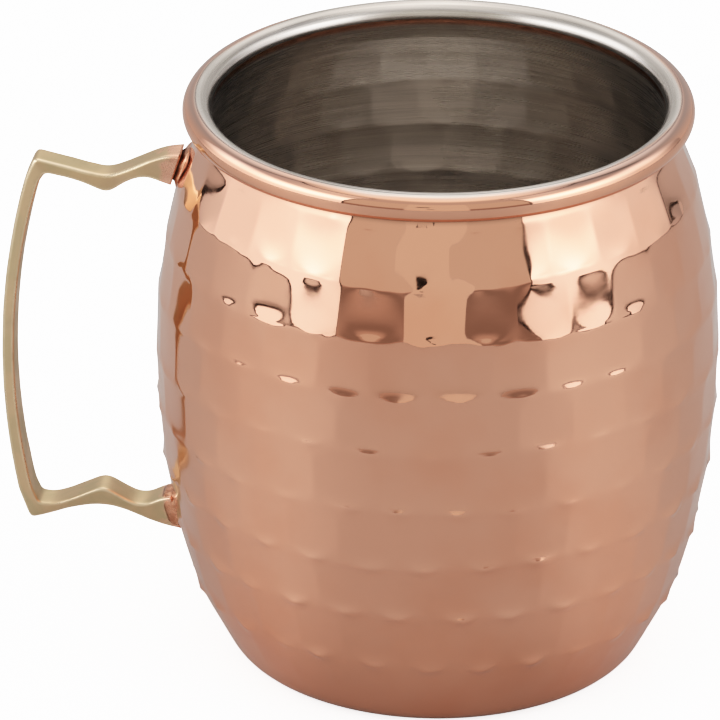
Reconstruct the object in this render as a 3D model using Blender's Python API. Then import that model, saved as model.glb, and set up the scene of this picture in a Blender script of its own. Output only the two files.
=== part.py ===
"""Hammered copper mug: a barrel body in two plies, a cast brass handle and its two brazed joints.

Frame: the origin is the centre of the flat base, +Z is up, and the handle points to -X.
Lengths are in metres, and angles are in radians unless a name says otherwise.
"""

import math

import bmesh
import bpy
import numpy as np
from mathutils import Vector

MM = 0.001

# Body: heights and outer radii of the barrel, base edge to neck, joined by one smooth curve
BARREL = [(2.4, 36.8), (11.4, 41.4), (31.2, 46.6), (52.0, 48.45), (70.8, 47.5), (87.6, 43.8), (97.0, 40.0)]
HEIGHT = 102.0 * MM
BASE_FLAT_RADIUS = 33.0 * MM
PLY = 0.55 * MM  # sheet thickness of the shell and of the liner
GAP = 0.3 * MM  # clearance between neighbouring pieces
CORNER_STEPS = 3

# Rim: the sheet is rolled outwards into a bead, and the liner's lip laps the bead up to its crest
BEAD_RADIUS = 2.47 * MM
RIM_RADIUS = 43.55 * MM
LIP_END = math.radians(86)  # angles go round the bead, from 0 at its outer side to 90 degrees at its crest
CURL_STEP_UP = math.radians(70)
CURL_END = math.radians(-108)

# Hammering: staggered rows of shallow dents
COLUMNS = 30
ROWS = 9
DENT_DEPTH = 0.28 * MM
HAMMER_START = 2.4 * MM
FIRST_ROW_HEIGHT = 11.3 * MM
ROW_SHRINK = 0.225 * MM  # each row is this much lower than the row below it
HAMMER_PHASE = math.radians(3.4)
SEGMENTS = 2 * COLUMNS

# Handle: (outer point, inner point) pairs as distance from the mug's axis and height
UPPER_ARM = [
    ((44.1, 89.7), (45.9, 84.3)),
    ((47.0, 89.4), (47.9, 84.9)),
    ((51.2, 87.6), (51.0, 85.4)),
    ((56.7, 85.4), (56.7, 82.5)),
    ((62.0, 86.3), (62.0, 84.1)),
    ((69.3, 87.9), (67.3, 85.5)),
]
LOWER_ARM = [
    ((71.2, 18.9), (69.8, 22.2)),
    ((64.8, 20.9), (64.8, 22.9)),
    ((58.2, 21.9), (58.2, 25.5)),
    ((53.2, 20.6), (53.0, 22.7)),
    ((48.9, 18.9), (49.3, 23.6)),
    ((44.9, 18.2), (46.5, 24.5)),
]
ARM_STEPS = 2  # smooth stations between two pairs of an arm
GRIP_APEX = (74.6, 49.5)  # the grip is an arc, bulging outwards most at this point of its centre line
GRIP_BOW_RADIUS = 125.0
GRIP_TOP = 84.0
GRIP_BOTTOM = 24.5
GRIP_STATIONS = 9
GRIP_THICKNESS = 2.15
GRIP_END_THICKNESS = 2.5
OUTER_FACE_WIDTH = 4.7
INNER_FACE_WIDTH = 5.8
FOOT_FLARE = 0.9  # extra width at the two brazed ends
FOOT_LENGTH = 6.0
EDGE_CHAMFER = 0.5

# Brazed joints: width and height beside the body, and beside the handle's foot
UPPER_BRAZE = ((6.4, 5.2), (5.4, 4.4))
LOWER_BRAZE = ((7.4, 6.8), (6.4, 5.8))
BRAZE_SIDES = 16

# Colours are linear RGB
COPPER = ((0.80, 0.42, 0.28), 0.16)
STEEL = ((0.56, 0.53, 0.49), 0.30)
BRASS = ((0.56, 0.44, 0.25), 0.32)
BRAZE = ((0.58, 0.30, 0.18), 0.42)


def clear_scene():
    for thing in list(bpy.data.objects):
        bpy.data.objects.remove(thing, do_unlink=True)


def metal(name, look):
    colour, roughness = look
    material = bpy.data.materials.new(name)
    material.use_nodes = True
    shader = material.node_tree.nodes["Principled BSDF"]
    shader.inputs["Base Color"].default_value = (*colour, 1.0)
    shader.inputs["Metallic"].default_value = 1.0
    shader.inputs["Roughness"].default_value = roughness
    return material


def add_object(name, bm, material, sharp_degrees=40):
    bmesh.ops.recalc_face_normals(bm, faces=bm.faces)
    mesh = bpy.data.meshes.new(name)
    bm.to_mesh(mesh)
    bm.free()
    mesh.shade_smooth()
    mesh.set_sharp_from_angle(angle=math.radians(sharp_degrees))
    mesh.materials.append(material)
    thing = bpy.data.objects.new(name, mesh)
    bpy.context.scene.collection.objects.link(thing)
    return thing


def bridge(bm, loops):
    """Joins each closed loop of vertices to the next one with quads."""
    for lower, upper in zip(loops, loops[1:]):
        for i in range(len(lower)):
            j = (i + 1) % len(lower)
            bm.faces.new((lower[i], lower[j], upper[j], upper[i]))


# ---------------------------------------------------------------- body


def wall_radius(z):
    """The barrel's outer radius at height z: a cubic curve through BARREL."""
    heights = np.array([height for height, _ in BARREL]) * MM
    radii = np.array([radius for _, radius in BARREL]) * MM
    slopes = np.gradient(radii, heights)
    i = int(np.clip(np.searchsorted(heights, z) - 1, 0, len(heights) - 2))
    span = heights[i + 1] - heights[i]
    t = (z - heights[i]) / span
    start = (2 * t**3 - 3 * t**2 + 1) * radii[i] + (t**3 - 2 * t**2 + t) * span * slopes[i]
    end = (3 * t**2 - 2 * t**3) * radii[i + 1] + (t**3 - t**2) * span * slopes[i + 1]
    return float(start + end)


def row_edge(k):
    """The height of the lower edge of hammered row k."""
    return HAMMER_START + FIRST_ROW_HEIGHT * k - ROW_SHRINK * k * (k - 1) / 2


def dent(angle, z):
    """How far the sheet is hammered in at this angle and height."""
    for k in range(ROWS):
        low, high = row_edge(k), row_edge(k + 1)
        if low < z < high:
            across = math.cos(COLUMNS * (angle - HAMMER_PHASE) / 2 + k * math.pi / 2) ** 2
            upward = math.sin(math.pi * (z - low) / (high - low)) ** 2
            return DENT_DEPTH * across * upward
    return 0.0


def corner(depth):
    """The base edge, from the flat base up to the barrel, at a depth below the outer face."""
    start = Vector((BASE_FLAT_RADIUS, depth))
    end = Vector((wall_radius(HAMMER_START) - depth, HAMMER_START))
    middle = Vector((end.x - 1.3 * MM, depth))
    points = []
    for i in range(CORNER_STEPS):
        t = i / CORNER_STEPS
        points.append(start * (1 - t) ** 2 + middle * 2 * t * (1 - t) + end * t**2)
    return [(point.x, point.y, False) for point in points]


def hammered_wall(depth):
    """Two rings a row, so that each dent has its own lowest point."""
    heights = [row_edge(k / 2) for k in range(2 * ROWS + 1)]
    for k in range(ROWS):
        heights[2 * k + 1] = (row_edge(k) + row_edge(k + 1)) / 2
    return [(wall_radius(z) - depth, z, True) for z in heights]


def plain_wall(depth):
    """One ring a row, for a face that is hidden between the plies."""
    return [(wall_radius(row_edge(k)) - depth, row_edge(k), False) for k in range(ROWS + 1)]


def bead(radius, start, end, steps):
    """An arc about the centre of the bead's section, as (radius, height) points."""
    centre_radius = RIM_RADIUS - BEAD_RADIUS
    centre_height = HEIGHT - BEAD_RADIUS
    points = []
    for i in range(steps + 1):
        angle = start + (end - start) * i / steps
        x = centre_radius + radius * math.cos(angle)
        points.append((x, centre_height + radius * math.sin(angle), False))
    return points


def turned(name, section, floor, material):
    """Turns a section about Z and closes it at the axis with a disc at each height in floor.

    The section runs from its first floor disc, over the outer face and the rim, to the second.
    """
    bm = bmesh.new()
    loops = []
    for radius, z, hammered in section:
        loop = []
        for i in range(SEGMENTS):
            angle = HAMMER_PHASE + 2 * math.pi * i / SEGMENTS
            r = radius - (dent(angle, z) if hammered else 0.0)
            loop.append(bm.verts.new((r * math.cos(angle), r * math.sin(angle), z)))
        loops.append(loop)
    bridge(bm, loops)
    for loop, z in zip((loops[0], loops[-1]), floor):
        middle = bm.verts.new((0.0, 0.0, z))
        for i in range(SEGMENTS):
            bm.faces.new((loop[i], loop[(i + 1) % SEGMENTS], middle))
    return add_object(name, bm, material)


def copper_shell(material):
    """The outer ply, with the rolled bead as its top edge."""
    lapped = BEAD_RADIUS - PLY - GAP
    outside = corner(0.0) + hammered_wall(0.0)
    hidden_curl = bead(lapped - PLY, math.pi, math.pi / 2, 2)
    hidden_curl += bead(BEAD_RADIUS - PLY, CURL_STEP_UP, CURL_END, 4)
    shown_curl = bead(BEAD_RADIUS, CURL_END, CURL_STEP_UP, 7)
    shown_curl += bead(lapped, math.pi / 2, math.pi, 2)
    inside = list(reversed(plain_wall(PLY))) + list(reversed(corner(PLY)))
    section = outside + hidden_curl + shown_curl + inside
    return turned("copper_shell", section, (0.0, PLY), material)


def steel_liner(material):
    """The inner ply, whose lip laps the bead."""
    outer_depth = PLY + GAP
    inner_depth = 2 * PLY + GAP
    outside = corner(outer_depth) + plain_wall(outer_depth)
    lip = bead(BEAD_RADIUS - PLY, math.pi, LIP_END, 3) + bead(BEAD_RADIUS, LIP_END, math.pi, 4)
    inside = list(reversed(hammered_wall(inner_depth))) + list(reversed(corner(inner_depth)))
    section = outside + lip + inside
    return turned("steel_liner", section, (outer_depth, inner_depth), material)


# ---------------------------------------------------------------- handle


def smooth_arm(pairs):
    """Adds stations between the pairs of an arm, on a Catmull-Rom curve."""
    points = [(Vector(outer), Vector(inner)) for outer, inner in pairs]
    stations = []
    for i in range(len(points) - 1):
        before, here, there, after = (points[min(max(j, 0), len(points) - 1)] for j in range(i - 1, i + 3))
        for step in range(ARM_STEPS):
            t = step / ARM_STEPS
            station = []
            for a, b, c, d in zip(before, here, there, after):
                bend = 2 * b + (c - a) * t + (2 * a - 5 * b + 4 * c - d) * t**2
                station.append((bend + (3 * b - a - 3 * c + d) * t**3) / 2)
            stations.append(tuple(station))
    return stations + [points[-1]]


def grip():
    """Stations down the grip, thinnest half way."""
    apex, height = GRIP_APEX
    stations = []
    for i in range(GRIP_STATIONS):
        share = i / (GRIP_STATIONS - 1)
        z = GRIP_TOP + (GRIP_BOTTOM - GRIP_TOP) * share
        slope = math.asin((z - height) / GRIP_BOW_RADIUS)
        middle = Vector((apex - GRIP_BOW_RADIUS * (1 - math.cos(slope)), z))
        thickness = GRIP_THICKNESS + (GRIP_END_THICKNESS - GRIP_THICKNESS) * (2 * share - 1) ** 2
        half = Vector((math.cos(slope), math.sin(slope))) * thickness / 2
        stations.append((middle + half, middle - half))
    return stations


def handle_section(outer, inner):
    """Eight corners of a chamfered trapezoid, from the outer face round to the inner face."""
    foot = max(0.0, 1 - (min(outer.x, inner.x) - UPPER_ARM[0][0][0]) / FOOT_LENGTH)
    wide = FOOT_FLARE * foot**2
    half_outer = (OUTER_FACE_WIDTH + wide) / 2
    half_inner = (INNER_FACE_WIDTH + wide) / 2
    cut = EDGE_CHAMFER / (outer - inner).length
    profile = [
        (half_outer - EDGE_CHAMFER, 0.0),
        (half_outer, cut),
        (half_inner, 1 - cut),
        (half_inner - EDGE_CHAMFER, 1.0),
    ]
    profile += [(-y, share) for y, share in reversed(profile)]
    corners = []
    for y, share in profile:
        point = outer.lerp(inner, share)
        corners.append(Vector((-point.x, y, point.y)) * MM)
    return corners


def handle(material):
    bm = bmesh.new()
    loops = []
    for outer, inner in smooth_arm(UPPER_ARM) + grip() + smooth_arm(LOWER_ARM):
        loops.append([bm.verts.new(corner_point) for corner_point in handle_section(outer, inner)])
    bridge(bm, loops)
    bm.faces.new(loops[0])
    bm.faces.new(loops[-1])
    return add_object("handle", bm, material)


# ---------------------------------------------------------------- brazed joints


def rounded_outline(width, height):
    """Points round a superellipse."""
    points = []
    for i in range(BRAZE_SIDES):
        angle = 2 * math.pi * (i + 0.5) / BRAZE_SIDES
        across = math.copysign(abs(math.cos(angle)) ** 0.6, math.cos(angle)) * width / 2
        upward = math.copysign(abs(math.sin(angle)) ** 0.6, math.sin(angle)) * height / 2
        points.append((across * MM, upward * MM))
    return points


def braze(name, foot, sizes, material):
    """Filler between the body and a foot, whose end face runs from its top to its bottom corner."""
    ends = sorted((Vector(point) * MM for point in foot), key=lambda point: -point.y)
    up_face = (ends[0] - ends[1]).normalized()
    middle = (ends[0] + ends[1]) / 2
    away = Vector((up_face.y, -up_face.x))
    body_size, foot_size = sizes
    bm = bmesh.new()
    by_body = []
    for across, upward in rounded_outline(*body_size):
        z = middle.y + upward * up_face.y
        distance = math.sqrt((wall_radius(z) + GAP) ** 2 - across**2)
        by_body.append(bm.verts.new((-distance, across, z)))
    by_foot = []
    for across, upward in rounded_outline(*foot_size):
        point = middle + up_face * upward - away * GAP
        by_foot.append(bm.verts.new((-point.x, across, point.y)))
    bridge(bm, [by_body, by_foot])
    bm.faces.new(by_body)
    bm.faces.new(by_foot)
    return add_object(name, bm, material)


def build():
    clear_scene()
    copper_shell(metal("polished_copper", COPPER))
    steel_liner(metal("brushed_steel", STEEL))
    handle(metal("cast_brass", BRASS))
    filler = metal("braze_metal", BRAZE)
    braze("upper_braze", UPPER_ARM[0], UPPER_BRAZE, filler)
    braze("lower_braze", LOWER_ARM[-1], LOWER_BRAZE, filler)


build()
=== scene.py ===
"""Looks of the copper mug: hammered copper body, rolled rim, brushed liner, cast brass handle.

Lengths named here are millimetres of the full-size mug; MM turns them into the frame's metres.
Azimuths of the studio are degrees to the right of the camera, seen from the mug.
"""

import math

import bmesh
import bpy
import numpy as np
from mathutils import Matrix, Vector, noise

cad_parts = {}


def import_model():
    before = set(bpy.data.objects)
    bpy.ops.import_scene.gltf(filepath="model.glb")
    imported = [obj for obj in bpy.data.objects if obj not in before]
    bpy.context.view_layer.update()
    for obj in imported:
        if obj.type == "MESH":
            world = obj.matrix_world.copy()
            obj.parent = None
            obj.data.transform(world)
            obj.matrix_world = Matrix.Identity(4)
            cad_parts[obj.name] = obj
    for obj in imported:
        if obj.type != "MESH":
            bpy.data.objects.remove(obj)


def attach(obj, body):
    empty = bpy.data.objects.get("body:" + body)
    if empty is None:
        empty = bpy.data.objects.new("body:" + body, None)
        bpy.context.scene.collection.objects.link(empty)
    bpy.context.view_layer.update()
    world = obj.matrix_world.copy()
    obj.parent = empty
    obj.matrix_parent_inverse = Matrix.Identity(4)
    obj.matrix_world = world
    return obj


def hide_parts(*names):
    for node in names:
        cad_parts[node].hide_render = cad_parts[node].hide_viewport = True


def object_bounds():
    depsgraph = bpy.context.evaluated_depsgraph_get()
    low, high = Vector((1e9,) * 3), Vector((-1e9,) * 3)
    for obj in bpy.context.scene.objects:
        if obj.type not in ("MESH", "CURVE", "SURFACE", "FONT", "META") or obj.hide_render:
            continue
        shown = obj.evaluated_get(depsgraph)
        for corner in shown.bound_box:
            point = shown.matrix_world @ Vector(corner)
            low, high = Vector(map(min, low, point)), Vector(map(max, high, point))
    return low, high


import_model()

cad_low, cad_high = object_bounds()
HEIGHT = 102.0
MM = (cad_high.z - cad_low.z) / HEIGHT

# ---------------------------------------------------------------- sizes

# Body: heights and outer radii of the barrel, base edge to neck
BARREL = [
    (2.4, 36.8), (11.4, 41.4), (31.2, 46.6), (52.0, 48.45), (70.8, 47.5), (87.6, 43.8), (97.0, 40.0),
]
BASE_FLAT = 33.0
BEAD = 2.47
RIM = 43.55
PLY = 0.55
PLY_GAP = 0.3
INSIDE = 2 * PLY + PLY_GAP  # depth of the liner's inner face below the outer face
INSIDE_SHARE = 0.9  # the hammering's depth inside, as a share of that outside
NECK_END = 97.8  # the wall ends inside the bead
LAP_END = 84.0  # degrees round the bead, from 0 at its outer side, where the liner's lip ends
BEAD_START = -125.0  # where the bead's section starts and ends, hidden under the overhang
LAP_SINK = 0.12  # the bead lies this much below the lip that laps it
CORNER_PULL = 1.3  # how far the base edge's curve is drawn in

# Hammering: staggered rows, each a shallow ring groove with a row of dents in it
COLUMNS = 30
ROWS = 9
FIRST_ROW = 2.4
ROW_HEIGHT = 11.3
ROW_SHRINK = 0.225
HAMMER_PHASE = math.radians(3.4)
ROW_WANDER = 0.5  # how far a row's edge strays from level
ANGLE_SPREAD = 0.05  # how far a dent strays round the body, of the pitch
WIDTH_SPREAD = 0.05
SHIFT_SPREAD = 0.04  # up the body, of half the row height
DEPTH_SPREAD = 0.12
LIP_SPREAD = 0.22
GROOVE_DEPTH = 0.014  # of a row as a whole
DENT_DEPTH = 0.225
DENT_SHIFT = -0.16  # in the two top rows, of half the row height
OVAL, PILLOW = 0.3, 0.9  # how square the dents are, below and in the two top rows
FLATNESS = 3.2  # how suddenly the lower rows' dents turn up at their lower ends
DENT_WIDTH = 1.22  # of half the pitch
LEAN = 0.22  # how unevenly deep a dent is
TOP_LEAN = 0.35  # in the two top rows, of that
LIP = 0.13  # a dent's lower edge stands this much proud
LIP_SHARES = (0.0, 3.6, 3.4, 3.0, 2.0, 1.1, 0.8, 0.9, 0.7)  # by row, from the base up
LIP_WIDTH = 0.5  # of half the pitch
LIP_RISES = (0.5, 0.5, 0.48, 0.44, 0.38, 0.35, 0.45, 0.45, 0.6)  # of half the row height, above the lip
LIP_FALL = 0.32  # and below it
TOP_ROW_TURN = 0.32  # the top row is turned by this share of the pitch
LIP_CURVE = 0.5  # how much a lip bends up at its ends
RIDGE_SOFTNESS = 0.05  # rounding of the ridges between dents
RIPPLE = 0.03  # unevenness of the sheet as a whole
RIPPLE_WAVES = 26
CALM_BASE = 8.0  # the hammering fades out below this height
CALM_NECK = (90.0, 95.0)  # and inside, between these heights
BODY_COLUMNS, BODY_STEPS = 600, 15  # vertices round the body, and up each row
LINER_COLUMNS, LINER_STEPS = 540, 13
BEAD_COLUMNS = 480

BRAZED_SPOTS = ((43.6, 87.0), (45.2, 21.4))  # distance from the axis and height of each foot

# Handle: (outer point, inner point) pairs as distance from the mug's axis and height
UPPER_ARM = [
    ((43.9, 89.7), (45.7, 84.3)),
    ((46.3, 89.5), (47.2, 84.7)),
    ((48.7, 88.75), (49.2, 85.3)),
    ((51.2, 87.6), (51.2, 85.3)),
    ((53.7, 86.45), (53.7, 84.3)),
    ((56.7, 85.4), (56.7, 82.4)),
    ((59.7, 85.75), (59.7, 83.5)),
    ((63.4, 86.65), (63.0, 84.6)),
    ((69.3, 88.0), (67.4, 85.5)),
]
LOWER_ARM = [
    ((71.3, 18.8), (69.8, 22.2)),
    ((67.6, 19.9), (67.3, 22.1)),
    ((64.2, 21.1), (64.4, 23.0)),
    ((61.0, 21.8), (61.2, 24.5)),
    ((58.2, 21.95), (58.2, 25.6)),
    ((55.6, 21.5), (55.3, 24.1)),
    ((53.1, 20.6), (52.7, 22.8)),
    ((50.4, 19.5), (50.4, 22.9)),
    ((47.7, 18.6), (48.4, 23.9)),
    ((44.7, 18.1), (46.3, 24.5)),
]
ARM_STEPS = 7
GRIP_APEX = (74.6, 49.5)
GRIP_BOW = 125.0
GRIP_TOP = 84.0
GRIP_BOTTOM = 24.5
GRIP_STEPS = 90
STATION_SPACING = 0.45
GRIP_THICKNESS = 2.15
GRIP_END_THICKNESS = 2.5
OUTER_FACE = 4.7
INNER_FACE = 5.8
FOOT_FLARE = 0.9
FOOT_LENGTH = 6.0
EDGE_ROUND = 0.62
CASTING_WAVE = 0.05

# Fillets of filler at the feet: (share of the way from the wall to the foot, how far they stand
# outside the foot, how hollow they are and how dark with oxide and painted shade); past 1 the share is
# millimetres along the foot
UPPER_FILLET = [
    (-0.5, 0.9, 0.0), (0.0, 0.75, 0.0), (0.3, 0.3, 0.1), (0.55, -0.25, 0.8), (0.9, -0.45, 1.0),
    (1.6, -0.7, 1.0),
]
LOWER_FILLET = [
    (-0.5, 1.2, 0.0), (0.0, 1.0, 0.3), (0.3, 0.55, 0.1), (0.8, 0.22, 0.0), (1.3, 0.12, 0.0),
    (2.2, 0.04, 0.1), (2.8, -0.3, 0.3),
]
FILLET_COLUMNS = 72
FILLET_SQUARENESS = 0.55
FILLET_LUMP = 1.6
FILLET_WOBBLE = 0.22

# Camera and studio
CAMERA_AZIMUTH = math.radians(5.0)
CAMERA_ELEVATION = math.radians(25.8)
CAMERA_DISTANCE = 1188.0
CAMERA_LENS = 343.5
AIM_SIDE = -0.01125  # the camera looks this much past the mug's middle, as slopes
AIM_RISE = 0.0006
FLOOR_RADIUS = 1250.0
EYE_HEIGHT = 80.0  # the cards' elevations are seen from this height on the mug's axis
BOX_DISTANCE = 1150.0
FRAME_DISTANCE = 1165.0
FRAME_WIDTH = 0.9  # degrees of azimuth
CAMERA_CARD_DISTANCE = 1200.0
WALL_DISTANCE = 1210.0
SHADE_DISTANCE = 1215.0
SIDE_WALL_DISTANCE = 1220.0
LOBE_LEVEL, LOBE_RISE = 0.62, 0.79  # the direction of the glow behind the mug
CAMERA_GLOW = 3.0  # the background's strength where the camera sees it
VIEW_WHITE = 4.0  # the brightest light that the view curve tells apart
VIEW_CURVE = [  # (light in the scene, brightness shown)
    (0.05, 0.030), (0.1, 0.074), (0.2, 0.18), (0.3, 0.29), (0.5, 0.50),
    (0.75, 0.70), (1.0, 0.85), (1.4, 0.96), (2.0, 0.992),
]

# Colours are linear RGB
COPPER = (0.90, 0.50, 0.355)
RED_COPPER = (0.84, 0.41, 0.27)
HEAT_STAIN = (0.34, 0.13, 0.07)
# painted sheen on the bead's crest
PAINTED_CREST_SHEEN = (0.60, 0.42, 0.36)
# painted shade: darker copper for the crevice under the bead
PAINTED_SHADE_COPPER = (0.30, 0.19, 0.14)
STEEL = (0.74, 0.69, 0.645)
DARK_STEEL = (0.55, 0.51, 0.47)
CLEAN_STEEL = (0.95, 0.90, 0.85)
SCRATCHED_STEEL = (0.85, 0.80, 0.74)
BRASS = (0.68, 0.51, 0.33)
GREEN_BRASS = (0.60, 0.48, 0.31)
PINK_BRASS = (0.74, 0.54, 0.40)
WORN_BRASS = (0.92, 0.76, 0.56)
HEATED_BRASS = (0.90, 0.53, 0.39)
FILLER = (0.80, 0.44, 0.30)
DARK_FILLER = (0.62, 0.29, 0.18)
# dark oxide and painted shade for the fillets' hollows
OXIDE_AND_SHADE = (0.10, 0.05, 0.035)
WARM_WALL = (1.0, 0.97, 0.90)
PINK_SHADE = (1.0, 0.86, 0.80)
SOFT_WHITE = (0.97, 0.98, 1.0)
DARK = (1.0, 0.8, 0.7)
WORLD_TINT = (1.0, 0.985, 0.965)

rng = np.random.default_rng(7)

# ---------------------------------------------------------------- profile and hammering


def wall_radius(z):
    """The barrel's outer radius at heights z: a cubic curve through BARREL, as in the CAD."""
    heights = np.array([point[0] for point in BARREL])
    radii = np.array([point[1] for point in BARREL])
    slopes = np.gradient(radii, heights)
    z = np.asarray(z, float)
    i = np.clip(np.searchsorted(heights, z) - 1, 0, len(heights) - 2)
    span = heights[i + 1] - heights[i]
    t = (z - heights[i]) / span
    start = (2 * t**3 - 3 * t**2 + 1) * radii[i] + (t**3 - 2 * t**2 + t) * span * slopes[i]
    end = (3 * t**2 - 2 * t**3) * radii[i + 1] + (t**3 - t**2) * span * slopes[i + 1]
    return start + end


def row_edge(k):
    """The height of the lower edge of hammered row k."""
    return FIRST_ROW + ROW_HEIGHT * k - ROW_SHRINK * k * (k - 1) / 2


def smooth_max(a, b, softness):
    """The larger of a and b, rounded where they meet."""
    share = np.clip(0.5 + 0.5 * (b - a) / softness, 0, 1)
    return a * (1 - share) + b * share + softness * share * (1 - share) / 2


def row_strength(k):
    """The bottom row is hammered more lightly, and the top row harder."""
    return {0: 0.6, ROWS - 2: 0.95, ROWS - 1: 1.3}.get(k, 1.0)


def dent_list():
    """For each row, its dents as (angle, width factor, height shift, depth, lip)."""
    pitch = 2 * math.pi / COLUMNS
    rows = []
    for k in range(ROWS):
        dents = []
        for j in range(COLUMNS):
            turn = j + k / 2 + TOP_ROW_TURN * (k == ROWS - 1)
            angle = HAMMER_PHASE + (turn + rng.normal(0, ANGLE_SPREAD)) * pitch
            depth = DENT_DEPTH * row_strength(k) * (1 + rng.normal(0, DEPTH_SPREAD))
            lip = LIP * (1 + rng.normal(0, LIP_SPREAD)) * LIP_SHARES[k]
            shift = rng.normal(0, SHIFT_SPREAD) + DENT_SHIFT * (k > ROWS - 3)
            dents.append((angle, 1 + rng.normal(0, WIDTH_SPREAD), shift, depth, lip))
        rows.append(dents)
    return rows


def wander_list():
    """For each row edge, a few slow waves round the body as (count, phase, height)."""
    edges = []
    for k in range(ROWS + 1):
        size = ROW_WANDER if 0 < k < ROWS else 0.0
        waves = []
        for count in (1, 2, 3, 5):
            waves.append((count, rng.uniform(0, 2 * math.pi), size * rng.uniform(0.2, 0.6)))
        edges.append(waves)
    return edges


DENTS = dent_list()
WANDERS = wander_list()
LEANS = rng.normal(0, LEAN, (ROWS, COLUMNS, 2))
LEANS[-2:] *= TOP_LEAN


def ring_heights(places, angles):
    """Heights at row places (4.5 is half way up row 4) and angles, following each row's edges."""
    edges = []
    for k in range(ROWS + 1):
        stray = sum(size * np.cos(count * angles + phase) for count, phase, size in WANDERS[k])
        edges.append(row_edge(k) + stray)
    edges = np.array(edges)
    low = np.clip(np.floor(places).astype(int), 0, ROWS - 1)
    share = (places - low)[:, None]
    return edges[low] * (1 - share) + edges[low + 1] * share


def lip_shape(above, rise):
    """The height of a lip's section: 1 on its crest, falling to 0 on both sides."""
    rise = np.clip(1 - above / rise, 0, 1)
    fall = np.clip(1 + above / LIP_FALL, 0, 1)
    return np.where(above > 0, rise, fall) ** 2


def hammered(places, angles):
    """How far in the sheet lies at these row places (rows) and angles (columns)."""
    pushed = np.zeros((len(places), len(angles)))
    half_pitch = math.pi / COLUMNS
    for k in range(ROWS):
        rows = np.where((places >= k) & (places <= k + 1))[0]
        y = 2 * (places[rows] - k) - 1
        caps = np.zeros((len(rows), len(angles)))
        squareness, power = (PILLOW, 2.0) if k > ROWS - 3 else (OVAL, FLATNESS)
        for (angle, width, shift, depth, _), lean in zip(DENTS[k], LEANS[k]):
            across = (angles - angle + math.pi) % (2 * math.pi) - math.pi
            columns = np.where(np.abs(across) < half_pitch * DENT_WIDTH * 1.4)[0]
            x = across[columns] / (half_pitch * DENT_WIDTH * width)
            across, up = x[None, :] ** 2, y[:, None] - shift
            up = np.where(up > 0, up**2, np.abs(up) ** power)
            cap = depth * (1 - across - up + squareness * across * up)
            cap *= 1 + lean[0] * x[None, :] + lean[1] * y[:, None]
            caps[:, columns] = smooth_max(caps[:, columns], cap, RIDGE_SOFTNESS)
        groove = GROOVE_DEPTH * row_strength(k) * (1 - y**2)
        fade = np.where((k == 0) & (y < 0), np.cos(y * math.pi / 2) ** 2, 1.0)
        pushed[rows] = (groove[:, None] + caps) * fade[:, None]
    for k in range(ROWS):
        above = 2 * (places - k)[:, None]
        rows = np.where(np.abs(above[:, 0]) < 1)[0]
        for angle, _, _, _, lip in DENTS[k]:
            across = (angles - angle + math.pi) % (2 * math.pi) - math.pi
            columns = np.where(np.abs(across) < half_pitch * 1.5)[0]
            x = (across[columns] / half_pitch)[None, :]
            section = lip_shape(above[rows] - LIP_CURVE * x**2, LIP_RISES[k])
            pushed[np.ix_(rows, columns)] -= lip * (section * np.exp(-((x / LIP_WIDTH) ** 2)))
    return pushed


def ripple(angles, heights, amplitude, seed):
    """Gentle unevenness of worked sheet: a few smooth waves round and up the body."""
    waves = np.random.default_rng(seed)
    total = np.zeros((len(heights), len(angles)))
    for _ in range(RIPPLE_WAVES):
        count = waves.integers(2, 42)
        length = waves.uniform(9, 60)
        phase_round, phase_up = waves.uniform(0, 2 * math.pi, 2)
        round_wave = np.cos(count * angles + phase_round) / (1 + count / 14)
        total += round_wave[None, :] * np.cos(2 * math.pi * heights / length + phase_up)[:, None]
    return total * amplitude / 3


def row_places(steps):
    """Places up the rows, closer together at each row's edges, where the sheet turns sharply."""
    within = np.arange(steps) / steps
    within = within - 0.07 * np.sin(2 * math.pi * within)
    places = [k + share for k in range(ROWS) for share in within]
    return np.array(places + [ROWS])


# ---------------------------------------------------------------- meshes


def add_mesh(name, vertices, faces, material, attributes=None):
    """Adds a smooth mesh from millimetre vertices, with its normals facing out."""
    mesh = bpy.data.meshes.new(name)
    mesh.from_pydata((np.asarray(vertices) * MM).tolist(), [], faces)
    for label, values in (attributes or {}).items():
        layer = mesh.attributes.new(label, "FLOAT", "POINT")
        layer.data.foreach_set("value", np.asarray(values, np.float32))
    bm = bmesh.new()
    bm.from_mesh(mesh)
    bmesh.ops.recalc_face_normals(bm, faces=bm.faces)
    bm.to_mesh(mesh)
    bm.free()
    mesh.shade_smooth()
    mesh.materials.append(material)
    thing = bpy.data.objects.new(name, mesh)
    bpy.context.scene.collection.objects.link(thing)
    return thing


def ring_faces(rows, columns, closed=False):
    """Quads between neighbouring rings of vertices; closed joins the last ring to the first."""
    index = np.arange(rows * columns).reshape(rows, columns)
    if closed:
        index = np.vstack([index, index[:1]])
    beside = np.roll(index, -1, axis=1)
    quads = np.stack([index[:-1], beside[:-1], beside[1:], index[1:]], axis=-1)
    return [tuple(quad) for quad in quads.reshape(-1, 4).tolist()]


def turned(name, radii, heights, angles, material, closed=False):
    """A turned piece from rings of radii and heights, closed on the axis, or with its ends joined."""
    rings = len(heights)
    radii = np.broadcast_to(radii, (rings, len(angles)))
    heights = np.broadcast_to(np.asarray(heights, float).reshape(rings, -1), radii.shape)
    points = np.stack([radii * np.cos(angles), radii * np.sin(angles), heights], axis=-1)
    vertices = points.reshape(-1, 3)
    faces = ring_faces(rings, len(angles), closed)
    if not closed:
        vertices = np.vstack([vertices, [[0, 0, heights[0, 0]]], [[0, 0, heights[-1, 0]]]])
        for ring, middle in ((0, rings * len(angles)), (rings - 1, rings * len(angles) + 1)):
            loop = [ring * len(angles) + i for i in range(len(angles))]
            faces += [(a, b, middle) for a, b in zip(loop, loop[1:] + loop[:1])]
    return add_mesh(name, vertices, faces, material)


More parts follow.
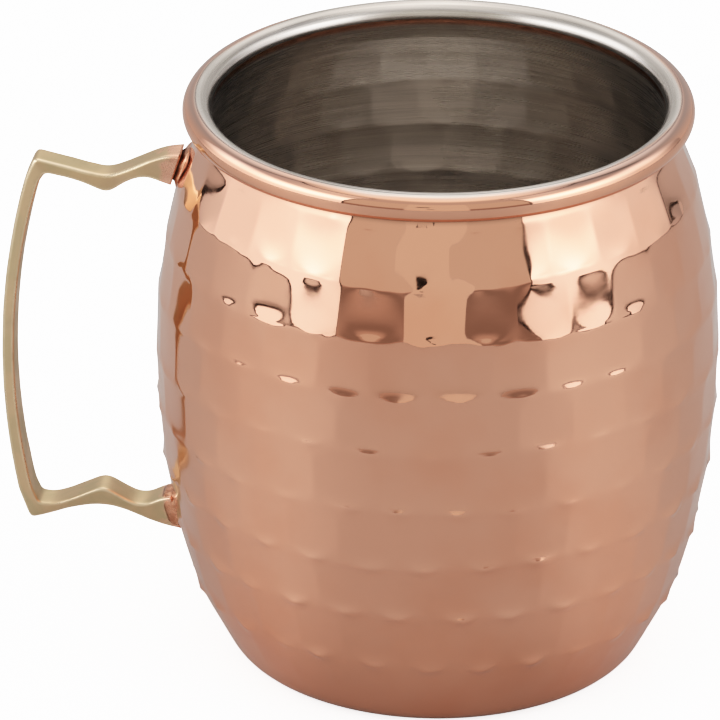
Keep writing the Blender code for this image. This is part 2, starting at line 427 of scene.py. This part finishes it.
def corner(depth, steps):
    """The base edge below the hammered rows, as (radius, height), at a depth below the outer face."""
    end = np.array([float(wall_radius(FIRST_ROW)) - depth, FIRST_ROW])
    start = np.array([BASE_FLAT, depth])
    middle = np.array([end[0] - CORNER_PULL, depth])
    t = np.linspace(0, 1, steps, endpoint=False)[:, None]
    return start * (1 - t) ** 2 + middle * 2 * t * (1 - t) + end * t**2


def bead_arc(radius, start, end, steps):
    """An arc about the centre of the bead's section, as (radius, height)."""
    angles = np.radians(np.linspace(start, end, steps))
    across = RIM - BEAD + radius * np.cos(angles)
    return np.stack([across, HEIGHT - BEAD + radius * np.sin(angles)], axis=-1)


# ---------------------------------------------------------------- materials


class Nodes:
    """Builds one node tree. A socket can stand wherever a value can."""

    def __init__(self, tree):
        self.tree = tree

    def add(self, kind, inputs, output=0, **settings):
        node = self.tree.nodes.new("ShaderNode" + kind)
        for key, value in settings.items():
            setattr(node, key, value)
        for key, value in inputs.items():
            self.feed(node.inputs[key], value)
        return node.outputs[output]

    def feed(self, socket, value):
        if isinstance(value, bpy.types.NodeSocket):
            self.tree.links.new(value, socket)
        else:
            socket.default_value = value

    def scaled(self, vector, factors):
        return self.add("VectorMath", {0: vector, 1: factors}, operation="MULTIPLY")

    def range(self, value, start, end, low=0.0, high=1.0):
        inputs = {"Value": value, "From Min": start, "From Max": end, "To Min": low, "To Max": high}
        return self.add("MapRange", inputs, interpolation_type="SMOOTHSTEP")

    def math(self, operation, a, b=0.0):
        return self.add("Math", {0: a, 1: b}, operation=operation)

    def product(self, first, *others):
        for factor in others:
            first = self.math("MULTIPLY", first, factor)
        return first

    def total(self, first, *others):
        for term in others:
            first = self.math("ADD", first, term)
        return first

    def mix(self, share, a, b):
        """A number or colour between a and b."""
        if isinstance(a, tuple) or (isinstance(a, bpy.types.NodeSocket) and a.type == "RGBA"):
            a, b = ((*value, 1) if isinstance(value, tuple) else value for value in (a, b))
            return self.add("Mix", {0: share, 6: a, 7: b}, output=2, data_type="RGBA")
        return self.add("Mix", {0: share, 2: a, 3: b}, output=0, data_type="FLOAT")


class Shading(Nodes):
    """Builds one material, placed in millimetres."""

    def __init__(self, name):
        self.material = bpy.data.materials.new(name)
        self.material.use_nodes = True
        super().__init__(self.material.node_tree)
        self.shader = self.tree.nodes["Principled BSDF"]
        coordinates = self.tree.nodes.new("ShaderNodeTexCoord").outputs["Object"]
        self.place = self.scaled(coordinates, (1 / MM,) * 3)
        axes = self.tree.nodes.new("ShaderNodeSeparateXYZ")
        self.feed(axes.inputs[0], self.place)
        self.x, self.y, self.z = axes.outputs

    def noise(self, size, detail=2.0, stretch=(1, 1, 1), distortion=0.0):
        """Noise between 0 and 1 with features of this size in millimetres."""
        place = self.scaled(self.place, tuple(1 / (size * s) for s in stretch))
        inputs = {"Vector": place, "Scale": 1.0, "Detail": detail, "Distortion": distortion}
        return self.add("TexNoise", inputs)

    def bump(self, height, depth, strength=1.0):
        """Bump from a 0 to 1 height that stands for this many millimetres."""
        return self.add("Bump", {"Height": height, "Distance": depth * MM, "Strength": strength})

    def finish(self, colour, roughness, normal, **others):
        inputs = {"Base Color": colour, "Roughness": roughness, "Normal": normal, "Metallic": 1.0}
        inputs.update(others)
        for key, value in inputs.items():
            self.feed(self.shader.inputs[key.replace("_", " ")], value)
        return self.material


def copper_finish(s):
    """Polished copper: (colour, roughness, bump height), with faint tarnish in blotches, redder and
    darker towards the base, haze and wiping marks.
    """
    blotch = s.noise(19, detail=3.0)
    haze = s.noise(6, detail=4.0, distortion=0.6)
    wiping = s.noise(0.5, detail=2.0, stretch=(14, 14, 1))
    # the colour turns redder and darker towards the base
    low = s.range(s.z, 34, 0)
    redness = s.total(s.range(blotch, 0.42, 0.72, 0.0, 0.45), s.product(low, 0.5))
    colour = s.mix(redness, COPPER, RED_COPPER)
    roughness = s.total(
        s.range(haze, 0.35, 0.8, 0.03, 0.075),
        s.range(blotch, 0.4, 0.8, 0.0, 0.03),
        s.range(wiping, 0.55, 0.8, 0.0, 0.02),
        s.range(s.z, 76, 50, 0.0, 0.10),
    )
    peel = s.total(s.product(s.noise(2.6, detail=1.0), 0.8), s.product(wiping, 0.06))
    return colour, roughness, peel


def steel_finish(s):
    """Steel brushed round the axis, with a few stray scratches: (colour, roughness, bump height)."""
    brushing = s.noise(0.32, detail=3.0, stretch=(90, 90, 1))
    broad = s.noise(1.6, detail=2.0, stretch=(22, 22, 1))
    stray = s.noise(0.35, detail=1.0, stretch=(60, 34, 1.0), distortion=0.2)
    scratch = s.range(stray, 0.70, 0.76)
    blotch = s.noise(16, detail=2.0)
    shade = s.total(s.product(brushing, 0.5), s.product(broad, 0.5))
    colour = s.mix(s.range(shade, 0.35, 0.65), DARK_STEEL, STEEL)
    colour = s.mix(s.product(scratch, 0.5), colour, SCRATCHED_STEEL)
    roughness = s.total(s.range(brushing, 0.3, 0.7, 0.20, 0.27), s.range(blotch, 0.3, 0.7, 0.0, 0.06))
    grain = s.total(s.product(brushing, 0.75), s.product(broad, 0.25))
    grain = s.math("SUBTRACT", grain, s.product(scratch, 0.6))
    return colour, roughness, grain


def copper_material():
    """Copper stained where the handle's feet were brazed on, with painted shade under the bead."""
    s = Shading("polished_copper")
    colour, roughness, peel = copper_finish(s)
    for radius, height in BRAZED_SPOTS:
        spot = (-radius, 0, height)
        distance = s.add("VectorMath", {0: s.place, 1: spot}, output=1, operation="DISTANCE")
        ragged = s.total(distance, s.range(s.noise(1.8, detail=3.0), 0.2, 0.8, -1.6, 1.6))
        stain = s.range(ragged, 6.8, 3.6)
        colour = s.mix(s.product(stain, 0.75), colour, HEAT_STAIN)
        roughness = s.total(roughness, s.product(stain, 0.12))
    # painted shade on the neck where it runs in under the bead
    crevice_shade = s.range(s.z, NECK_END - 2.2, NECK_END - 0.6)
    colour = s.mix(crevice_shade, colour, PAINTED_SHADE_COPPER)
    return s.finish(colour, roughness, s.bump(peel, 0.004), Coat_Weight=0.25, Coat_Roughness=0.03)


def rim_material(name, steel_below):
    """Copper that fades to steel over the rim's crest; the liner stays steel below its lip."""
    s = Shading(name)
    copper = copper_finish(s)
    steel = steel_finish(s)
    radius = s.math("SQRT", s.total(s.product(s.x, s.x), s.product(s.y, s.y)))
    outward = s.math("SUBTRACT", radius, RIM - BEAD)
    upward = s.math("SUBTRACT", s.z, HEIGHT - BEAD)
    turn = s.math("ARCTAN2", upward, outward)
    beside = s.math("ABSOLUTE", s.x)
    wander = s.range(s.noise(28, detail=2.0), 0.3, 0.7, -0.16, 0.16)
    sideways = s.range(beside, 12, 38, 0.0, -0.35)
    bare = s.range(s.total(turn, wander, sideways), math.radians(50), math.radians(80))
    if steel_below:
        bare = s.math("MAXIMUM", bare, s.range(s.z, HEIGHT - 1.2 * BEAD, HEIGHT - 1.6 * BEAD))
    colour, roughness = (s.mix(bare, a, b) for a, b in zip(copper[:2], steel[:2]))
    if steel_below:
        inner = s.range(s.z, HEIGHT - 2 * BEAD, HEIGHT - 4 * BEAD)
        colour = s.mix(s.product(inner, 0.2), colour, CLEAN_STEEL)
    # painted sheen: the crest turns pale to the left and right of the camera's view
    crest_sheen = s.product(s.range(beside, 8, 30), s.range(turn, math.radians(25), math.radians(70)))
    colour = s.mix(s.product(crest_sheen, s.math("SUBTRACT", 1.0, bare)), colour, PAINTED_CREST_SHEEN)
    if not steel_below:
        # painted shade under the bead's overhang, with a rougher finish there
        crevice_shade = s.range(turn, math.radians(-25), math.radians(-70))
        colour = s.mix(crevice_shade, colour, PAINTED_SHADE_COPPER)
        roughness = s.mix(crevice_shade, roughness, 0.38)
    roughness = s.total(roughness, s.range(s.z, 16, 8, 0.0, 0.25))
    height = s.mix(bare, s.product(copper[2], 0.3), steel[2])
    tangent = s.add("Tangent", {}, direction_type="RADIAL", axis="Z")
    anisotropic = s.product(bare, 0.2)
    return s.finish(colour, roughness, s.bump(height, 0.012), Anisotropic=anisotropic, Tangent=tangent)


def brass_material():
    """Tumbled cast brass: mottled faces, rubbed bright edges, and feet reddened by the brazing heat."""
    s = Shading("cast_brass")
    mottle = s.noise(7, detail=3.0, distortion=0.5)
    tone = s.noise(15, detail=2.0)
    grain = s.noise(0.45, detail=3.0)
    drag = s.noise(0.3, detail=2.0, stretch=(1, 6, 6))
    edge = s.add("Attribute", {}, output=2, attribute_name="edge")
    foot = s.add("Attribute", {}, output=2, attribute_name="foot")
    colour = s.mix(s.range(mottle, 0.38, 0.62), BRASS, GREEN_BRASS)
    colour = s.mix(s.range(tone, 0.5, 0.75, 0.0, 0.6), colour, PINK_BRASS)
    rubbed = s.product(edge, s.range(s.noise(3.5, detail=3.0), 0.3, 0.6, 0.35, 1.0))
    colour = s.mix(s.product(rubbed, 0.8), colour, WORN_BRASS)
    ragged = s.total(foot, s.range(s.noise(2.2, detail=3.0), 0.25, 0.75, -0.22, 0.22))
    heated = s.range(ragged, 0.25, 0.75)
    colour = s.mix(heated, colour, HEATED_BRASS)
    roughness = s.total(s.range(mottle, 0.3, 0.7, 0.31, 0.41), s.range(grain, 0.3, 0.7, 0.0, 0.06))
    roughness = s.total(roughness, s.product(rubbed, -0.10), s.product(heated, -0.10))
    relief = s.total(s.product(grain, 0.4), s.product(drag, 0.25), s.noise(2.4, detail=2.0))
    return s.finish(colour, roughness, s.bump(relief, 0.03))


def braze_material():
    """Copper-coloured filler, dark in its hollows with oxide and painted shade."""
    s = Shading("braze_metal")
    lumps = s.noise(1.3, detail=3.0, distortion=0.4)
    hollow = s.add("Attribute", {}, output=2, attribute_name="hollow")
    colour = s.mix(s.range(lumps, 0.35, 0.65), DARK_FILLER, FILLER)
    # oxide and painted shade darken the hollows
    colour = s.mix(hollow, colour, OXIDE_AND_SHADE)
    roughness = s.total(s.range(lumps, 0.3, 0.7, 0.18, 0.32), s.product(hollow, 0.25))
    return s.finish(colour, roughness, s.bump(lumps, 0.06))


# ---------------------------------------------------------------- body


def all_round(values, angles):
    """The same value at every angle."""
    return np.repeat(np.asarray(values)[:, None], len(angles), axis=1)


def copper_body(material):
    """The outer ply below the bead: hammered outside, neck, hidden inside and flat base."""
    angles = HAMMER_PHASE + np.linspace(0, 2 * math.pi, BODY_COLUMNS, endpoint=False)
    edge = corner(0.0, 7)
    places = row_places(BODY_STEPS)
    heights = ring_heights(places, angles)
    level = heights.mean(axis=1)
    pushed = hammered(places, angles) + ripple(angles, level, RIPPLE, 3)
    calm = np.interp(level, [FIRST_ROW, CALM_BASE], [0.0, 1.0])[:, None]
    outside = wall_radius(heights) - pushed * calm
    neck = np.linspace(row_edge(ROWS), NECK_END, 4)[1:]
    inner = np.linspace(NECK_END, FIRST_ROW, 7)
    under = corner(PLY, 2)[::-1]
    radii = [all_round(edge[:, 0], angles), outside]
    radii += [all_round(wall_radius(neck), angles) - pushed[-1] * calm[-1]]
    radii += [all_round(wall_radius(inner) - PLY, angles), all_round(under[:, 0], angles)]
    levels = [all_round(edge[:, 1], angles), heights, all_round(neck, angles)]
    levels += [all_round(inner, angles), all_round(under[:, 1], angles)]
    return turned("copper_body", np.vstack(radii), np.vstack(levels), angles, material)


def rim_bead(material):
    """The rolled edge of the shell, sunk where the liner's lip laps over it."""
    angles = np.linspace(0, 2 * math.pi, BEAD_COLUMNS, endpoint=False)
    shown = bead_arc(BEAD, BEAD_START, LAP_END, 38)
    lapped = bead_arc(BEAD - PLY - LAP_SINK, LAP_END, 360 + BEAD_START, 12)
    section = np.vstack([shown, lapped])
    return turned("rim_bead", section[:, :1], section[:, 1], angles, material, closed=True)


def liner(material):
    """The inner ply: hidden outside, lip over the bead, hammered inside and flat floor."""
    angles = HAMMER_PHASE + np.linspace(0, 2 * math.pi, LINER_COLUMNS, endpoint=False)
    hidden_depth = PLY + PLY_GAP
    under = corner(hidden_depth, 3)
    hidden = np.linspace(FIRST_ROW, 97.0, 8)
    lip_end = LAP_END + 0.5
    lip = np.vstack([bead_arc(BEAD - PLY, 180, lip_end, 6), bead_arc(BEAD, lip_end, 180, 22)])
    places = row_places(LINER_STEPS)[::-1]
    heights = ring_heights(places, angles)
    level = heights.mean(axis=1)
    pushed = hammered(places, angles) * INSIDE_SHARE + ripple(angles, level, RIPPLE, 5)
    calm = np.interp(level, [FIRST_ROW, CALM_BASE, *CALM_NECK], [0.0, 1.0, 1.0, 0.0])[:, None]
    inside = wall_radius(heights) - INSIDE - pushed * calm
    floor_edge = corner(INSIDE, 6)[::-1]
    outer = wall_radius(hidden) - hidden_depth
    radii = [all_round(column, angles) for column in (under[:, 0], outer, lip[:, 0])]
    levels = [all_round(column, angles) for column in (under[:, 1], hidden, lip[:, 1])]
    radii += [inside, all_round(floor_edge[:, 0], angles)]
    levels += [heights, all_round(floor_edge[:, 1], angles)]
    return turned("liner", np.vstack(radii), np.vstack(levels), angles, material)


# ---------------------------------------------------------------- handle


def smooth_arm(pairs):
    """Stations between the pairs of an arm, on a Catmull-Rom curve."""
    points = np.array(pairs)
    last = len(points) - 1
    stations = []
    for i in range(last):
        before, here, there, after = (points[min(max(j, 0), last)] for j in range(i - 1, i + 3))
        for step in range(ARM_STEPS):
            t = step / ARM_STEPS
            bend = 2 * here + (there - before) * t + (2 * before - 5 * here + 4 * there - after) * t**2
            stations.append((bend + (3 * here - before - 3 * there + after) * t**3) / 2)
    stations.append(points[-1])
    return np.array(stations)


def grip():
    """Stations down the bowed grip, thinnest half way."""
    share = np.linspace(0, 1, GRIP_STEPS)
    z = GRIP_TOP + (GRIP_BOTTOM - GRIP_TOP) * share
    slope = np.arcsin((z - GRIP_APEX[1]) / GRIP_BOW)
    middle = np.stack([GRIP_APEX[0] - GRIP_BOW * (1 - np.cos(slope)), z], axis=-1)
    thickness = GRIP_THICKNESS + (GRIP_END_THICKNESS - GRIP_THICKNESS) * (2 * share - 1) ** 2
    half = np.stack([np.cos(slope), np.sin(slope)], axis=-1) * thickness[:, None] / 2
    return np.stack([middle + half, middle - half], axis=1)


def relaxed(line, passes):
    """Rounds the corners of a line of points in place, keeping its ends."""
    for _ in range(passes):
        line[1:-1] = line[1:-1] / 2 + (line[:-2] + line[2:]) / 4


def evenly_spaced(stations, spacing):
    """Stations at even spacing along the middle of the handle."""
    middle = stations.mean(axis=1)
    lengths = np.append(0, np.cumsum(np.linalg.norm(np.diff(middle, axis=0), axis=1)))
    wanted = np.linspace(0, lengths[-1], int(lengths[-1] / spacing))
    columns = stations.reshape(len(stations), -1).T
    spaced = [np.interp(wanted, lengths, column) for column in columns]
    return np.stack(spaced, axis=-1).reshape(-1, 2, 2)


def handle_stations():
    """Evenly spaced (outer, inner) stations from the upper foot to the lower, with eased corners."""
    stations = np.concatenate([smooth_arm(UPPER_ARM), grip(), smooth_arm(LOWER_ARM)])
    stations = evenly_spaced(stations, STATION_SPACING)
    relaxed(stations[:, 0], 2)
    relaxed(stations[:, 1], 5)
    return stations


def rounded_section(outer_width, inner_width, thickness):
    """Points round a trapezoid with rounded corners: (across, depth, edge), edge 1 on a corner."""
    corners = [
        (outer_width / 2, 0.0),
        (inner_width / 2, thickness),
        (-inner_width / 2, thickness),
        (-outer_width / 2, 0.0),
    ]
    corners = [np.array(point) for point in corners]
    points = []
    for i, point in enumerate(corners):
        following = corners[(i + 1) % 4]
        to_last = corners[i - 1] - point
        to_next = following - point
        start = point + to_last / np.linalg.norm(to_last) * EDGE_ROUND
        end = point + to_next / np.linalg.norm(to_next) * EDGE_ROUND
        for t in np.linspace(0, 1, 6):
            curved = start * (1 - t) ** 2 + point * 2 * t * (1 - t) + end * t**2
            points.append((*curved, 4 * t * (1 - t)))
        following = following - to_next / np.linalg.norm(to_next) * EDGE_ROUND
        for t in (0.2, 0.4, 0.6, 0.8):
            points.append((*(end + (following - end) * t), 0.0))
    return points


def cast_handle(material):
    """One cast bar, uneven like a casting, with its edges and feet marked for the material."""
    vertices, edges, feet = [], [], []
    stations = handle_stations()
    for outer, inner in stations:
        reach = min(outer[0], inner[0]) - UPPER_ARM[0][0][0]
        foot = max(0.0, 1 - reach / FOOT_LENGTH)
        wide = FOOT_FLARE * foot**2
        thickness = np.linalg.norm(outer - inner)
        through = (inner - outer) / thickness
        for across, depth, edge in rounded_section(OUTER_FACE + wide, INNER_FACE + wide, thickness):
            place = outer + through * depth
            point = np.array([-place[0], across, place[1]])
            centred = through * (depth / thickness - 0.5)
            outward = np.array([-centred[0], across / 3, centred[1]])
            outward /= max(np.linalg.norm(outward), 1e-6)
            wave = noise.noise(Vector(point / 5.0)) + 0.5 * noise.noise(Vector(point / 1.9))
            vertices.append(point + outward * wave * CASTING_WAVE)
            edges.append(edge)
            feet.append(foot)
    count = len(vertices) // len(stations)
    faces = ring_faces(len(stations), count)
    faces.append(tuple(range(count)))
    faces.append(tuple(range(len(vertices) - count, len(vertices))))
    return add_mesh("cast_handle", vertices, faces, material, {"edge": edges, "foot": feet})


def fillet(name, pair, profile, material, seed):
    """Filler between the wall and the end face of a foot, which runs between a pair of points."""
    outer, inner = (np.array(point) for point in pair)
    thickness = np.linalg.norm(outer - inner)
    through = (inner - outer) / thickness
    vertices, hollows = [], []
    for share, grow, hollow in profile:
        for i in range(FILLET_COLUMNS):
            turn = 2 * math.pi * i / FILLET_COLUMNS
            cosine, sine = math.cos(turn), math.sin(turn)
            bulge = math.copysign(abs(sine) ** FILLET_SQUARENESS, sine)
            depth = thickness / 2 + bulge * (thickness / 2 + grow)
            width = OUTER_FACE + (INNER_FACE - OUTER_FACE) * depth / thickness + FOOT_FLARE
            across = math.copysign(abs(cosine) ** FILLET_SQUARENESS, cosine) * (width / 2 + grow)
            on_foot = outer + through * depth
            on_wall = math.sqrt(float(wall_radius(on_foot[1])) ** 2 - across**2)
            step = (on_foot[0] - on_wall) * min(share, 1.0) + max(share - 1.0, 0.0)
            lump = Vector((across / FILLET_LUMP, on_foot[1] / FILLET_LUMP, seed + share))
            wobble = noise.noise(lump) * FILLET_WOBBLE
            distance = on_wall + step + wobble * (0 < share < 1)
            vertices.append((-distance, across * (1 + wobble / 12), on_foot[1] + wobble / 3))
            hollows.append(hollow)
    faces = ring_faces(len(profile), FILLET_COLUMNS)
    faces.append(tuple(range(FILLET_COLUMNS)))
    faces.append(tuple(range(len(vertices) - FILLET_COLUMNS, len(vertices))))
    return add_mesh(name, vertices, faces, material, {"hollow": hollows})


# ---------------------------------------------------------------- studio


def polar(azimuth, distance, height):
    """A point at an azimuth to the right of the camera, seen from the mug."""
    angle = math.radians(azimuth) - math.pi / 2 + CAMERA_AZIMUTH
    return Vector((distance * math.cos(angle), distance * math.sin(angle), height)) * MM


def stage_mesh(name, vertices, faces, material):
    """Adds a flat-shaded mesh that belongs to the studio, not to the mug."""
    mesh = bpy.data.meshes.new(name)
    mesh.from_pydata([tuple(vertex) for vertex in vertices], [], faces)
    mesh.materials.append(material)
    thing = bpy.data.objects.new(name, mesh)
    bpy.context.scene.collection.objects.link(thing)
    return thing


def floor():
    """A pale round table top, near white to the camera.

    In reflections it is mid grey, with painted light paler to each side of the mug and painted shade
    darker behind it.
    """
    s = Shading("pale_table")
    direct = s.add("LightPath", {}, output=0)
    ahead = s.add("VectorMath", {0: s.scaled(s.place, (1, 1, 0))}, operation="NORMALIZE")
    to_camera = (math.sin(CAMERA_AZIMUTH), -math.cos(CAMERA_AZIMUTH), 0)
    ahead = s.add("VectorMath", {0: ahead, 1: to_camera}, output=1, operation="DOT_PRODUCT")
    # painted light and shade: in reflections the grey is paler to each side and darker behind the mug
    beside = s.range(ahead, 0.93, 0.60, 0.50, 0.64)
    grey = s.product(beside, s.range(ahead, 0.45, -0.35, 1.0, 0.80))
    colour = s.mix(direct, s.add("CombineColor", {0: grey, 1: grey, 2: grey}), (0.95, 0.95, 0.95))
    inputs = {"Base Color": colour, "Roughness": 0.7, "Specular IOR Level": 0.1}
    inputs["Emission Color"] = (1, 1, 1, 1)
    inputs["Emission Strength"] = s.product(direct, 0.9)
    for key, value in inputs.items():
        s.feed(s.shader.inputs[key], value)
    ring = [polar(azimuth, FLOOR_RADIUS, -0.4) for azimuth in range(0, 360, 4)]
    stage_mesh("table", ring, [tuple(range(len(ring)))], s.material)


def glow_material(name, colour, glow):
    """Even light, or with glow given as a function of the shading, light that varies over the card."""
    s = Shading(name)
    s.tree.nodes.remove(s.shader)
    strength = glow(s) if callable(glow) else glow
    light = s.add("Emission", {"Color": (*colour, 1), "Strength": strength})
    s.feed(s.tree.nodes["Material Output"].inputs["Surface"], light)
    return s.material


def card(name, azimuths, elevations, distance, colour, glow):
    """A curved glowing card, seen only in reflections and by its light.

    Its azimuths and elevations are ranges in degrees, seen from the mug's shoulder.
    """
    low, high = (distance * math.tan(math.radians(angle)) + EYE_HEIGHT for angle in elevations)
    steps = max(2, int((azimuths[1] - azimuths[0]) / 2))
    vertices = []
    for i in range(steps + 1):
        azimuth = azimuths[0] + (azimuths[1] - azimuths[0]) * i / steps
        vertices += [polar(azimuth, distance, low), polar(azimuth, distance, high)]
    faces = [(2 * i, 2 * i + 2, 2 * i + 3, 2 * i + 1) for i in range(steps)]
    thing = stage_mesh(name, vertices, faces, glow_material(name, colour, glow))
    thing.visible_camera = False
    thing.visible_shadow = False


def softbox(side, inner, outer, hot_azimuth, glow, edge_glow):
    """A wide softbox with a thin dark frame on its inner side, below and above.

    It is brightest along hot_azimuth and half way up.
    """
    hot = polar(hot_azimuth, BOX_DISTANCE, 0) / MM

    def spread(s):
        level = s.scaled(s.place, (1, 1, 0))
        away = s.add("VectorMath", {0: level, 1: tuple(hot)}, output=1, operation="DISTANCE")
        across = s.range(away, 0.10 * BOX_DISTANCE, 0.60 * BOX_DISTANCE, glow, edge_glow)
        faded = s.range(away, 0.72 * BOX_DISTANCE, 1.1 * BOX_DISTANCE, 1.0, 0.4)
        raised = s.range(s.z, EYE_HEIGHT + 160, 0.5 * BOX_DISTANCE, 0.76, 1.35)
        lowered = s.range(s.z, 0.6 * BOX_DISTANCE, 1.1 * BOX_DISTANCE, 1.0, 0.33)
        return s.product(across, faded, s.product(raised, lowered))

    frame_inner = inner - math.copysign(FRAME_WIDTH, inner)
    card(f"softbox_{side}", sorted((inner, outer)), (-2.9, 60.0), BOX_DISTANCE, SOFT_WHITE, spread)
    card(f"frame_{side}", sorted((frame_inner, outer)), (-3.6, 61.0), FRAME_DISTANCE, DARK, 0.03)


def shade(side, azimuths, glow):
    """A wall's shaded foot, darkest half way up."""

    def graded(s):
        off_middle = s.math("ABSOLUTE", s.math("SUBTRACT", s.z, EYE_HEIGHT + 40))
        return s.product(s.range(off_middle, 15, 120, 0.55, 1.0), glow)

    card(f"shade_{side}", azimuths, (-3.7, 8.5), SHADE_DISTANCE, PINK_SHADE, graded)


def room():
    """Everything round the mug that shows in its reflections, but for the table."""
    softbox("left", -41, -126, -64, 2.05, 1.6)
    softbox("right", 40, 128, 62, 2.05, 1.3)
    card("warm_wall", (-14, 13), (-3.7, 42.0), WALL_DISTANCE, WARM_WALL, 0.73)
    card("wall_beside_left", (-41, -14.2), (8.0, 42.0), SIDE_WALL_DISTANCE, WARM_WALL, 0.66)
    card("wall_beside_right", (13.2, 40), (8.0, 42.0), SIDE_WALL_DISTANCE, WARM_WALL, 0.64)
    shade("left", (-41, -14.4), 0.52)
    shade("right", (13.4, 40), 0.50)
    card("camera_body", (-9.5, -3.6), (20.4, 24.0), CAMERA_CARD_DISTANCE, DARK, 0.02)
    card("tripod_head", (-4.6, -1.6), (7.6, 9.8), CAMERA_CARD_DISTANCE, DARK, 0.02)


def world():
    """Dim, but brighter behind the mug and overhead, and near white to the camera."""
    studio = bpy.data.worlds.new("studio")
    bpy.context.scene.world = studio
    studio.use_nodes = True
    s = Nodes(studio.node_tree)
    direction = s.add("TexCoord", {}, output=0)
    lobe = (-math.sin(CAMERA_AZIMUTH) * LOBE_LEVEL, math.cos(CAMERA_AZIMUTH) * LOBE_LEVEL, LOBE_RISE)
    behind = s.add("VectorMath", {0: direction, 1: lobe}, output=1, operation="DOT_PRODUCT")
    upward = s.add("SeparateXYZ", {0: direction}, output=2)
    glow = s.total(s.range(behind, 0.84, 0.985, 0.58, 1.28), s.range(upward, 0.85, 0.97, 0.0, 0.65))
    direct = s.add("LightPath", {}, output=0)
    background = s.tree.nodes["Background"]
    s.feed(background.inputs["Strength"], s.mix(direct, glow, CAMERA_GLOW))
    s.feed(background.inputs["Color"], (*WORLD_TINT, 1))


def camera():
    """A long lens, a little above the rim and to the right of the mug's front."""
    data = bpy.data.cameras.new("camera")
    data.lens = CAMERA_LENS
    data.sensor_width = 36
    data.clip_end = 20
    thing = bpy.data.objects.new("camera", data)
    bpy.context.scene.collection.objects.link(thing)
    back = Vector((
        math.sin(CAMERA_AZIMUTH) * math.cos(CAMERA_ELEVATION),
        -math.cos(CAMERA_AZIMUTH) * math.cos(CAMERA_ELEVATION),
        math.sin(CAMERA_ELEVATION),
    ))
    thing.location = (Vector((0, 0, HEIGHT / 2)) + back * CAMERA_DISTANCE) * MM
    right = Vector((math.cos(CAMERA_AZIMUTH), math.sin(CAMERA_AZIMUTH), 0))
    aim = -back + right * AIM_SIDE + back.cross(right) * AIM_RISE
    thing.rotation_mode = "QUATERNION"
    thing.rotation_quaternion = aim.to_track_quat("-Z", "Y")
    bpy.context.scene.camera = thing


def view_curve():
    """Deeper shadows and a soft shoulder, so that bright copper turns pale, not yellow."""
    settings = bpy.context.scene.view_settings
    settings.view_transform = "Standard"
    settings.use_curve_mapping = True
    mapping = settings.curve_mapping
    mapping.white_level = (VIEW_WHITE,) * 3
    for light, shown in VIEW_CURVE:
        mapping.curves[3].points.new(light / VIEW_WHITE, shown)
    mapping.update()


# ---------------------------------------------------------------- assembly

copper = copper_material()
rim_metal = rim_material("rim_metal", False)
liner_steel = rim_material("liner_steel", True)
brass = brass_material()
filler = braze_material()

pieces = [
    (copper_body(copper), "copper_shell", "copper"),
    (rim_bead(rim_metal), "copper_shell", "copper"),
    (liner(liner_steel), "steel_liner", "steel"),
    (cast_handle(brass), "handle", "brass"),
    (fillet("upper_fillet", UPPER_ARM[0], UPPER_FILLET, filler, 1.7), "upper_braze", "braze"),
    (fillet("lower_fillet", LOWER_ARM[-1], LOWER_FILLET, filler, 8.3), "lower_braze", "braze"),
]
for piece, node, slot in pieces:
    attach(piece, "root")
    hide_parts(node)

floor()
room()
world()
camera()
view_curve()
